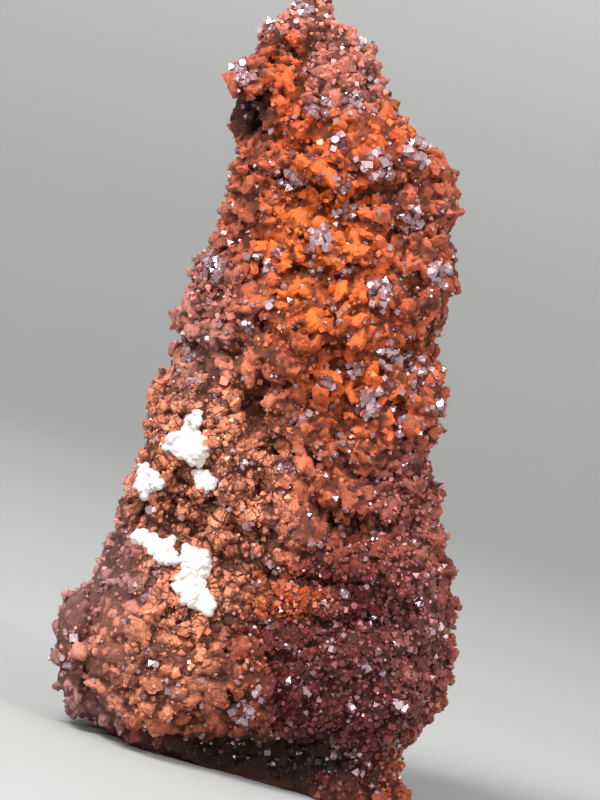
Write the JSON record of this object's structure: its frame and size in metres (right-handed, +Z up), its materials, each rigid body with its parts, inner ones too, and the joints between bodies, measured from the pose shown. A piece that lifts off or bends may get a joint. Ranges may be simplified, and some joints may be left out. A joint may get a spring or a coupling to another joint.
{
  "type": "cuprite on matrix",
  "caption": "Tall tapering mineral specimen: rust-orange craggy rock crusted with small dark red cuprite crystals and white mineral patches, standing on its broken base.",
  "frame": {"origin": "middle of the whole specimen's bounding box at the level of the base it stands on", "axes": "+Z up from the base to the tip, -Y out of the crystal-covered front face, +X to the right seen from the front"},
  "size_m": [0.031, 0.0194, 0.0611],
  "materials": {
    "matrix": "dull, rough, rust-orange to brown earthy rock with dark cracks",
    "white_crust": "chalky, granular off-white mineral crust",
    "cuprite": "dark red, bright submetallic crystal faces with a grey-lilac sheen"
  },
  "bodies": {
    "root": {"matrix": "matrix", "white_crust_upper": "white_crust", "white_crust_edge": "white_crust", "white_crust_bench": "white_crust", "white_crust_middle": "white_crust", "white_crust_lower": "white_crust", "cuprite_left_shoulder": "cuprite", "cuprite_right_shoulder": "cuprite", "cuprite_brow": "cuprite", "cuprite_gully": "cuprite", "cuprite_pit_rim": "cuprite", "cuprite_upper_face": "cuprite", "cuprite_left_rim": "cuprite", "cuprite_right_rim": "cuprite", "cuprite_middle_face": "cuprite", "cuprite_ledge": "cuprite", "cuprite_lower_face": "cuprite", "cuprite_foot": "cuprite"}
  },
  "joints": []
}
